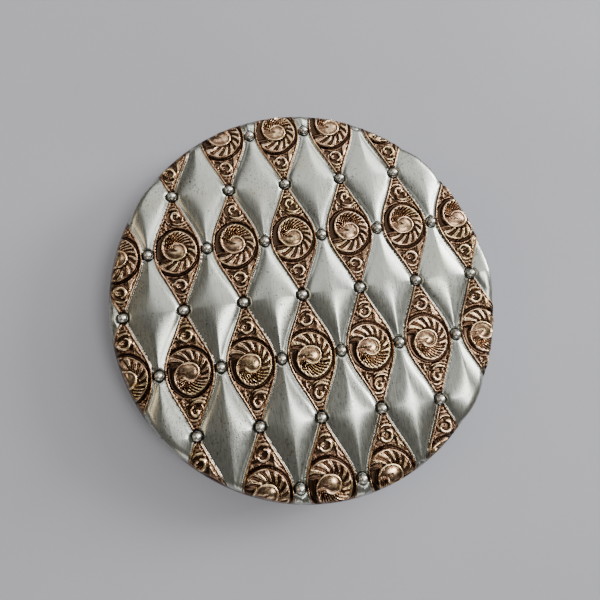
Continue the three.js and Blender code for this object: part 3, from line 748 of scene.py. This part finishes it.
def lid_profile(samples=2000):
    """The lid's outer profile from its middle to the top of its wall: radius, height and length so far."""
    shoulder_radius = LID_RADIUS - SHOULDER_WIDTH
    drop = dome_height(shoulder_radius) - LID_WALL_TOP
    flat = np.linspace(0, shoulder_radius, samples)
    angle = np.linspace(np.pi / 2, 0, samples)[1:]
    r = np.concatenate([flat, shoulder_radius + SHOULDER_WIDTH * np.cos(angle)])
    z = np.concatenate([dome_height(flat), LID_WALL_TOP + drop * np.sin(angle)])
    length = np.concatenate([[0], np.cumsum(np.hypot(np.diff(r), np.diff(z)))])
    return r, z, length


def square_to_disc(count):
    """A square grid bent into a disc: each vertex's share of the radius and its angle."""
    p, q = np.meshgrid(np.linspace(-1, 1, count + 1), np.linspace(-1, 1, count + 1), indexing="ij")
    wide = np.abs(p) >= np.abs(q)
    reach = np.where(wide, np.abs(p), np.abs(q))
    safe = np.where(reach == 0, 1, reach)
    quarter = np.pi / 4
    beside = np.where(p >= 0, quarter * q / safe, np.pi - quarter * q / safe)
    above = np.where(q >= 0, 2 * quarter - quarter * p / safe, -2 * quarter + quarter * p / safe)
    return reach.ravel(), np.where(wide, beside, above).ravel()


def lid_cover():
    """The lid's domed top with its relief, down to the top of its wall."""
    reach, angle = square_to_disc(RELIEF_GRID)
    profile_r, profile_z, length = lid_profile()
    along = reach * length[-1]
    r = np.interp(along, length, profile_r)
    z = np.interp(along, length, profile_z)
    normal_r = np.interp(along, length, -np.gradient(profile_z, length))
    normal_z = np.interp(along, length, np.gradient(profile_r, length))
    # The relief follows the sheet over the rounded edge, and dies out down it.
    wrapped = r + WRAP * (along - r)
    height, copper = relief(wrapped * np.cos(angle), wrapped * np.sin(angle))
    shown = smooth((normal_z - 0.58) / 0.40)
    lift = height * shown
    out = np.minimum(r + normal_r * lift, LID_RADIUS)
    vertices = np.column_stack([out * np.cos(angle), out * np.sin(angle), z + normal_z * lift])
    faces = grid_faces(RELIEF_GRID + 1, RELIEF_GRID + 1)
    piece = mesh_object("lid_cover", vertices.tolist(), faces)
    # Painted shade: the metal is drawn darker where the shoulder turns down into the wall.
    rim = 0.4 * smooth((along - length[-1] + 1.7) / 0.6)
    for name, values in (("relief", height * (0.6 + 0.4 * shown) - rim), ("copper", copper)):
        layer = piece.data.attributes.new(name, "FLOAT", "POINT")
        layer.data.foreach_set("value", values.astype(np.float32))
    return piece


def lid_beads():
    """The round silver beads at the diamonds' points, as one piece."""
    profile_r, profile_z, length = lid_profile()
    wrapped = profile_r + WRAP * (length - profile_r)
    radius = BEAD_RADIUS * TILE_WIDTH
    margin = 1.8  # no bead stands nearer to the rim
    bm = bmesh.new()
    for row in range(-4, 5):
        for column in range(-4, 5):
            x = (column + abs(row % 2) / 2) * TILE_WIDTH + TILE_SHIFT[0]
            y = row * TILE_LENGTH / 2 + TILE_SHIFT[1]
            reach = math.hypot(x, y)
            if reach > wrapped[-1] - margin:
                continue
            r = float(np.interp(reach, wrapped, profile_r))
            z = float(np.interp(reach, wrapped, profile_z)) + BEAD_LIFT
            place = Matrix.Translation((x * r / reach, y * r / reach, z))
            made = bmesh.ops.create_uvsphere(bm, u_segments=36, v_segments=18, radius=radius, matrix=place)
            # The sunk half is flatter, so that it stays within the sheet.
            flatter = 0.75
            for vertex in made["verts"]:
                vertex.co.z = max(vertex.co.z, z + (vertex.co.z - z) * flatter)
    piece = from_bmesh("lid_beads", bm)
    crown = np.array([vertex.normal.z for vertex in piece.data.vertices], dtype=np.float32)
    piece.data.attributes.new("crown", "FLOAT", "POINT").data.foreach_set("value", crown)
    return piece


def lid_wall():
    """The lid's side wall and the inside of its sheet, with the notch for the hinge."""
    inner = LID_RADIUS - SHEET
    ceiling_radius, ceiling_edge, ceiling_crown = 37.6, 11.05, 11.75
    profile = [
        (0, ceiling_crown),
        (ceiling_radius, ceiling_edge),
        (inner, LID_WALL_TOP + 0.25),
        (inner, LID_BOTTOM + 0.15),
        (inner + 0.15, LID_BOTTOM),
        (LID_RADIUS - 0.2, LID_BOTTOM),
        (LID_RADIUS, LID_BOTTOM + 0.2),
        (LID_RADIUS, LID_WALL_TOP + 0.02),  # the cover goes on from here
    ]
    piece = turned_piece("lid_wall", profile, rounding=0)
    cut(piece, hinge_notch(LID_BOTTOM - 1, HINGE_NOTCH["lid_top"]))
    return piece


def lid_frame():
    """The ring inside the lid that carries the hinge, the catch lip and the mirror."""
    outer, bottom, top = round_size("lid_frame")
    inner = outer - 0.6
    profile = [
        (inner, bottom),
        (outer, bottom),
        (outer, LID_WALL_TOP + 0.1),
        (37.5, top),
        (36.2, top),
        (36.2, top - 0.5),
        (37.3, top - 0.5),
        (inner, LID_WALL_TOP - 0.1),
    ]
    piece = turned_piece("lid_ring", profile)
    cut(piece, hinge_notch(LID_BOTTOM - 1, HINGE_NOTCH["lid_top"]))
    return piece


def mirror_glass():
    """The glass, bevelled round its face."""
    radius, bottom, top = round_size("mirror_glass")
    bevel = 1.6
    profile = [(0, bottom), (radius - bevel, bottom), (radius, bottom + 0.4), (radius, top), (0, top)]
    return turned_piece("mirror", profile, rounding=0)


def mirror_bezel():
    """The ring that holds the glass: a rolled lip, two turned steps and a flange."""
    flange, bottom, top = round_size("mirror_bezel")
    outer = flange - 1.4
    lip, groove = 31.8, 0.14
    profile = [
        *arc((lip + 0.45, bottom + 0.25), (0.45, 0.25), 180, 270, 5),
        (lip + 1.3, bottom),
        (lip + 1.45, bottom + groove),
        (lip + 1.7, bottom + groove),
        (lip + 1.85, bottom),
        (outer - 0.5, bottom),
        (outer - 0.35, bottom + groove),
        (outer, bottom + 0.2),
        (outer, top - 0.4),
        (flange, top - 0.4),
        (flange, top),
        (outer - 0.6, top),
        (outer - 0.6, bottom + 0.4),
        (lip, bottom + 0.4),
    ]
    return turned_piece("bezel", profile, rounding=0.05)


def build_lid(metals):
    placed(lid_cover(), "lid", metals["lid"], "lid_shell", sharp_over=75)
    placed(lid_beads(), "lid", metals["bead"], "lid_shell")
    placed(lid_wall(), "lid", metals["shell"], "lid_shell")
    placed(lid_frame(), "lid", metals["gilt"], "lid_frame")
    placed(mirror_glass(), "lid", metals["mirror"], "mirror_glass", sharp_over=5)
    carried("lid", metals["card"], "mirror_backing")
    placed(mirror_bezel(), "lid", metals["gilt"], "mirror_bezel")
    carried("lid", metals["gilt"], "lid_hinge_leaf")
    carried("lid", metals["steel"], "lid_catch_lip")


# ---- Base ----


def base_shell():
    """The dished bottom half."""
    radius, bottom, top = round_size("base_shell")
    flat, bend = 29, 6.4
    outer = arc((flat, bend), (radius - flat, bend), -90, 0, 28)
    inner = arc((flat, bend), (radius - flat - SHEET, bend - SHEET), 0, -90, 28)
    profile = [
        (0, bottom),
        *outer,
        (radius, top - 0.12),
        (radius - 0.12, top),
        (radius - SHEET + 0.12, top),
        (radius - SHEET, top - 0.12),
        *inner,
        (0, SHEET),
    ]
    piece = turned_piece("base_dish", profile, rounding=0)
    # The open lid's wall dips past the corners of the notch, so these stand further apart.
    cut(piece, hinge_notch(HINGE_NOTCH["shell_bottom"], top + 1, spare=0.6), button_slot())
    return piece


def base_collar():
    """The raised ring that the lid closes over."""
    radius, bottom, top = round_size("base_collar")
    inner = radius - 0.7
    ledge = inner - 1
    shelf = DECK_BOTTOM - 0.1
    profile = [
        (ledge, bottom),
        (radius, bottom),
        (radius, top - 0.3),
        *arc((radius - 0.3, top - 0.3), (0.3, 0.3), 0, 90, 5),
        (inner, top),
        (inner, shelf),
        (ledge, shelf),
    ]
    piece = turned_piece("collar", profile, rounding=0.06)
    cut(piece, hinge_notch(HINGE_NOTCH["collar_bottom"], top + 1), button_slot())
    return piece


def deck_plate():
    """The plate round the well, with a slot for the catch's tongue."""
    inner = corners("powder_well")[1].x - WELL_FLANGE + 0.3
    profile = [
        (inner, DECK_BOTTOM),
        (DECK_RADIUS, DECK_BOTTOM),
        (DECK_RADIUS, DECK_TOP),
        (inner, DECK_TOP),
    ]
    piece = turned_piece("deck", profile, rounding=0.08)
    front, back = (corner.y for corner in corners("catch_tongue"))
    cut(piece, block((-3.2, front + 0.3, DECK_BOTTOM - 1), (3.2, back + 1.3, DECK_TOP + 1)))
    return piece


def powder_well():
    """The pan for the powder: a rolled rim over a flange that rests on the deck."""
    flange, bottom, top = round_size("powder_well")
    outer = flange - WELL_FLANGE
    inner = outer - 0.6
    middle = (outer + inner) / 2
    flange_bottom = DECK_TOP + 0.1
    floor = bottom + 0.5
    profile = [
        (0, bottom),
        (inner, bottom),
        *arc((inner, bottom + 0.6), (0.6, 0.6), -90, 0, 6),
        (outer, flange_bottom),
        (flange, flange_bottom),
        (flange, flange_bottom + 0.4),
        (outer, flange_bottom + 0.4),
        *arc((middle, top - 0.3), (0.3, 0.3), 0, 180, 10),
        *arc((inner - 0.3, floor + 0.3), (0.3, 0.3), 0, -90, 5),
        (0, floor),
    ]
    return turned_piece("well", profile, rounding=0)


def powder_cake():
    """The powder, slightly hollowed by use and crumbled at its edge."""
    radius, bottom, top = round_size("powder_cake")

    def place(share, angle):
        crumble = 0.12 * math.sin(7 * angle + 2) * math.sin(11 * angle) * smooth((share - 0.9) / 0.1)
        along, across = share * math.cos(angle), share * math.sin(angle)
        used = 0.28 * math.exp(-(((along - 0.1) / 0.5) ** 2 + (across / 0.6) ** 2))
        r = radius * (1 - 0.004 * math.sin(23 * angle))
        return r * along, r * across, top - used - 0.5 * share**24 + crumble

    return round_sheet("powder", 48, 192, place, skirt_to=bottom)


def sifter_frame():
    """The sifter's ring, with a beaded top edge."""
    radius, bottom, top = round_size("sifter_frame")
    inner = corners("sifter_screen")[1].x + 0.1
    profile = [
        (inner - 1, bottom),
        (radius, bottom),
        (radius, top - 0.3),
        *arc((radius - 0.35, top - 0.3), (0.35, 0.3), 0, 180, 8),
        (radius - 0.9, top - 0.15),
        (inner, top - 0.1),
        (inner, bottom + 0.4),
        (inner - 1, bottom + 0.4),
    ]
    return turned_piece("sifter_ring", profile, rounding=0.05)


def sifter_screen():
    """The woven face, sagging a little between its edges."""
    radius, bottom, top = round_size("sifter_screen")
    steps = [i / 24 for i in range(25)]
    over = [(radius * s, top - 0.05 * (1 - s * s)) for s in reversed(steps)]
    under = [(radius * s, bottom + 0.02) for s in steps]
    return turned_piece("sifter_mesh", under + over[:-1] + [(0, over[-1][1])], rounding=0)


def coil(name, radius, length):
    """A wire wound about X round the origin, with closed turns at both ends."""
    wire, turns, closed = SPRING_WIRE, 3, 0.75
    per_turn, sides = 28, 10
    count = int(per_turn * (turns + 2 * closed))
    closed_pitch = 2.1 * wire
    around = 2 * math.pi * radius
    vertices = []
    for step in range(count + 1):
        turn = step / per_turn
        share = min(max((turn - closed) / turns, 0), 1)
        ends = (min(turn, closed) + max(turn - closed - turns, 0)) * closed_pitch
        x = ends + (length - 2 * closed * closed_pitch) * share - length / 2
        angle = 2 * math.pi * turn
        out = Vector((0, math.cos(angle), math.sin(angle)))
        forward = Vector((length / turns, -around * math.sin(angle), around * math.cos(angle)))
        side = forward.normalized().cross(out)
        for corner in range(sides):
            a = 2 * math.pi * corner / sides
            offset = wire * (math.cos(a) * out + math.sin(a) * side)
            vertices.append(Vector((x, 0, 0)) + radius * out + offset)
    faces = grid_faces(count + 1, sides, closed=True, flipped=True)
    faces.append(tuple(range(sides)))
    faces.append(tuple(count * sides + corner for corner in reversed(range(sides))))
    return mesh_object(name, vertices, faces)


def inner_lid_spring():
    """The coils that lift the inner lid."""
    low, high = corners("inner_lid_spring")
    piece = coil("lift_spring", 0.72, high.x - low.x - 2 * SPRING_WIRE)
    piece.data.transform(Matrix.Translation((low + high) / 2 * MM))
    return piece


def catch_spring():
    """The button's spring."""
    low, high = corners("catch_spring")
    piece = coil("return_spring", 0.9, high.y - low.y - 2 * SPRING_WIRE)
    quarter_turn = Matrix.Rotation(math.pi / 2, 4, "Z")
    piece.data.transform(Matrix.Translation((low + high) / 2 * MM) @ quarter_turn)
    return piece


def build_base(metals):
    rows = [
        ("base_shell", base_shell(), "shell"),
        ("base_collar", base_collar(), "gilt"),
        ("deck_plate", deck_plate(), "gilt"),
        ("powder_well", powder_well(), "gilt"),
        ("powder_cake", powder_cake(), "powder"),
        ("sifter_frame", sifter_frame(), "gilt"),
        ("sifter_screen", sifter_screen(), "wire"),
    ]
    for node, piece, metal in rows:
        placed(piece, "base", metals[metal], node)
    carried("base", metals["gilt"], "base_hinge_leaf", "inner_hinge_leaf")
    carried("base", metals["steel"], "hinge_pin", "inner_hinge_pin", rounding=0.1)
    carried("base", metals["steel"], "catch_housing")
    placed(inner_lid_spring(), "base", metals["steel"], "inner_lid_spring")
    spring = placed(catch_spring(), "base", metals["steel"], "catch_spring")
    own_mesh(spring)


# ---- Puff ----


def puff():
    """The velour puff: a flat round pad, plumped by a short cloth simulation."""
    low, high = corners("puff")
    radius = high.x - 0.35
    bottom, top = low.z + 0.3, high.z - 0.3
    rim = (top - bottom) / 2
    profile = [(0, bottom), *arc((radius - rim, bottom + rim), (rim, rim), -90, 90, 10), (0, top)]
    piece = turned_piece("puff_pad", profile, rounding=0, segments=128)
    enlarge = 20  # the simulation runs on a pad about a metre across
    piece.data.transform(Matrix.Scale(enlarge, 4))
    remesh = piece.modifiers.new("remesh", "REMESH")
    remesh.mode = "VOXEL"
    remesh.voxel_size = 0.8 * MM * enlarge
    applied(piece)
    plump(piece, most=0.5 * MM * enlarge)
    piece.data.transform(Matrix.Scale(1 / enlarge, 4))
    # It lies flat on the sifter.
    for vertex in piece.data.vertices:
        vertex.co.z = max(vertex.co.z, (low.z + 0.02) * MM)
    seam(piece, (low.z + high.z) / 2, radius)
    subdivision = piece.modifiers.new("fine", "SUBSURF")
    subdivision.levels = subdivision.render_levels = 1
    applied(piece)
    return piece


def plump(piece, most):
    """Blows the pad up as cloth, moving no point further than a cap."""
    rest = np.array([vertex.co for vertex in piece.data.vertices])
    cloth = piece.modifiers.new("cloth", "CLOTH")
    cloth.settings.use_pressure = True
    cloth.settings.uniform_pressure_force = 4
    cloth.settings.effector_weights.gravity = 0
    frames = 20
    cloth.point_cache.frame_end = frames
    for number in range(1, frames + 1):
        bpy.context.scene.frame_set(number)
    applied(piece)
    bpy.context.scene.frame_set(1)
    moved = np.array([vertex.co for vertex in piece.data.vertices]) - rest
    length = np.linalg.norm(moved, axis=1, keepdims=True)
    held = rest + moved * np.minimum(1, most / np.maximum(length, 1e-9))
    piece.data.vertices.foreach_set("co", held.ravel())


def seam(piece, height, radius):
    """Pulls the pad in along the stitched seam round its edge."""
    stitches = 140
    for vertex in piece.data.vertices:
        x, y, z = vertex.co / MM
        r = math.hypot(x, y)
        near = math.exp(-(((z - height) / 0.22) ** 2)) * smooth((r - radius + 1.2) / 0.8)
        stitch = 0.75 + 0.25 * math.cos(stitches * math.atan2(y, x))
        share = 1 - 0.3 * near * stitch / r if r > 0 else 1
        vertex.co = Vector((x * share, y * share, z)) * MM


def puff_backing():
    """The satin disc on the puff's back, puckered by the stitches round its edge."""
    low, high = corners("puff_backing")
    radius, stitches = high.x, 36

    def place(share, angle):
        pucker = 0.05 * math.sin(stitches * angle) * smooth((share - 0.72) / 0.2)
        crown = 0.18 * (1 - share**4)
        z = low.z + 0.06 + crown + pucker * (1 - 0.6 * smooth((share - 0.96) / 0.04))
        return radius * share * math.cos(angle), radius * share * math.sin(angle), z

    return round_sheet("satin_back", 40, 180, place)


def puff_ribbon():
    """The finger ribbon across the puff's back, arched a little off it."""
    low, high = corners("puff_ribbon")
    half_length, half_width = high.x, high.y
    columns, rows = 96, 12
    vertices = []
    for row in range(rows + 1):
        across = 2 * row / rows - 1
        for column in range(columns + 1):
            along = 2 * column / columns - 1
            arch = 0.34 * (1 - along**2) ** 0.5 * (1 - 0.15 * across**2)
            pinch = 1 - 0.05 * smooth((abs(along) - 0.85) / 0.15)
            vertices.append((along * half_length, across * half_width * pinch, low.z + arch))
    return mesh_object("ribbon_band", vertices, grid_faces(rows + 1, columns + 1, flipped=True))


def build_puff(cloths):
    pad = placed(puff(), "base", cloths["velour"], "puff", sharp_over=180)
    back = placed(puff_backing(), "base", cloths["satin"], "puff_backing", sharp_over=180)
    ribbon = placed(puff_ribbon(), "base", cloths["ribbon"], "puff_ribbon", sharp_over=180)


# ---- Inner lid and catch ----


def powder_lid():
    """The inner lid: a disc with a rolled edge and a sunburst."""
    radius, rim_bottom, top = round_size("powder_lid")
    bottom = top - 0.5
    field, rings = radius - 1.6, 40
    profile = [
        (0, bottom),
        (radius - 0.4, bottom),
        (radius - 0.4, rim_bottom),
        (radius, rim_bottom),
        (radius, bottom + 0.2),
        *arc((radius - 0.3, bottom + 0.2), (0.3, 0.3), 0, 90, 5),
        (radius - 1.2, top),
        (radius - 1.4, top - 0.12),
        *[(field * (1 - i / rings), top - 0.12) for i in range(rings + 1)],
    ]
    disc = turned_piece("inner_lid_disc", profile, rounding=0, segments=360)
    for vertex in disc.data.vertices:
        x, y, z = vertex.co / MM
        r = math.hypot(x, y)
        if z > top - 0.2 and r < field + 0.1:
            vertex.co.z += sunburst(r, math.atan2(y, x), field) * MM
    return disc


def sunburst(r, angle, field):
    """Height of the inner lid's pattern: rays round a plain round medallion."""
    medallion = 7.0
    rays = abs(math.sin(18 * angle + 0.06 * r))  # 36 rays, bent a little
    faded = smooth((r - medallion - 0.4) / 0.8) * smooth((field - r) / 0.8)
    ring = math.exp(-(((r - medallion) / 0.35) ** 2))
    return float(0.13 * rays * faded + 0.11 * ring + 0.05 * (1 - smooth(r / medallion)))


def thumb_tab():
    """The tab that lifts the inner lid."""
    low, high = corners("powder_lid")
    top, bottom = high.z, high.z - 0.5
    corner, half, back = 1.4, 4.0, -28.9
    turn = low.y + corner
    left = arc((-half + corner, turn), (corner, corner), 180, 270, 6)
    right = arc((half - corner, turn), (corner, corner), 270, 360, 6)
    outline = [(x, y, bottom) for x, y in [(-half, back), *left, *right, (half, back)]]
    piece = from_bmesh("inner_lid_tab", prism(outline, (0, 0, top - bottom)))
    rounded(piece, 0.12)
    return piece


def build_inner_lid(metals):
    placed(powder_lid(), "inner_lid", metals["gilt"], "powder_lid", sharp_over=50)
    placed(thumb_tab(), "inner_lid", metals["gilt"], "powder_lid")
    carried("inner_lid", metals["gilt"], "powder_lid_leaf")


def build_catch(metals):
    carried("button", metals["gilt"], "catch_button", rounding=0.3)
    carried("button", metals["steel"], "catch_tongue")


# ---- Camera, light and floor ----


def add_camera():
    """A close, wide view from almost straight above."""
    camera = in_scene("camera", bpy.data.cameras.new("camera"))
    camera.location = Vector((-18.09, -8.16, 102.3)) * MM
    camera.rotation_euler = Euler([math.radians(angle) for angle in (11.98, -3.38, -7.70)])
    camera.data.lens = 27
    camera.data.shift_x = 0.083
    camera.data.shift_y = -0.083
    camera.data.clip_start = 0.005
    bpy.context.scene.camera = camera


def softbox(name, position, size, watts, colour=(1, 1, 1)):
    """A square area light that faces the compact. Its position and size are in metres."""
    light = in_scene(name, bpy.data.lights.new(name, "AREA"))
    light.location = position
    light.rotation_euler = (-Vector(position)).to_track_quat("-Z", "Y").to_euler()
    light.data.size = size
    light.data.energy = watts
    light.data.color = colour


def add_light():
    """Plain soft studio light."""
    world = bpy.data.worlds.new("room")
    bpy.context.scene.world = world
    world.use_nodes = True
    background = world.node_tree.nodes["Background"]
    background.inputs["Color"].default_value = (1, 0.95, 0.89, 1)
    background.inputs["Strength"].default_value = 0.17
    softbox("ceiling", (0.16, 0.62, 0.87), 1.15, 5.9)
    softbox("key", (0.80, 0.46, 0.60), 0.5, 5.0)
    softbox("lamp", (0.40, -0.17, 0.95), 0.28, 4.0)
    softbox("window", (0.95, 0.20, 0.42), 0.30, 8)
    softbox("warm", (-0.85, 0.10, 0.55), 0.3, 1.0, (1, 0.80, 0.55))
    softbox("front", (-0.20, -1.10, 0.28), 0.6, 1.8)


def add_floor(material):
    """A plain floor, three metres across."""
    half, steps = 1500, 24
    bm = bmesh.new()
    bmesh.ops.create_grid(bm, x_segments=steps, y_segments=steps, size=half)
    floor = from_bmesh("table", bm)
    floor.data.materials.append(material)


# ---- Assembly ----

metals = {
    "lid": lid_metal(),
    "bead": bead_metal(),
    "shell": shell_metal(),
    "gilt": gilt_metal(),
    "steel": steel_metal(),
    "mirror": mirror_metal(),
    "card": card_stock(),
    "powder": face_powder(),
    "wire": woven_wire(),
}
cloths = {
    "velour": velour_cloth(),
    "satin": satin_cloth("satin_weave", 4.0, (0.66, 0.42, 0.36), (0.84, 0.60, 0.53), ribbed=False),
    "ribbon": satin_cloth("ribbed_weave", 1.3, (0.46, 0.20, 0.17), (0.62, 0.31, 0.27), ribbed=True),
}
add_camera()
add_light()
add_floor(table_paper())
build_lid(metals)
build_base(metals)
build_puff(cloths)
build_inner_lid(metals)
build_catch(metals)
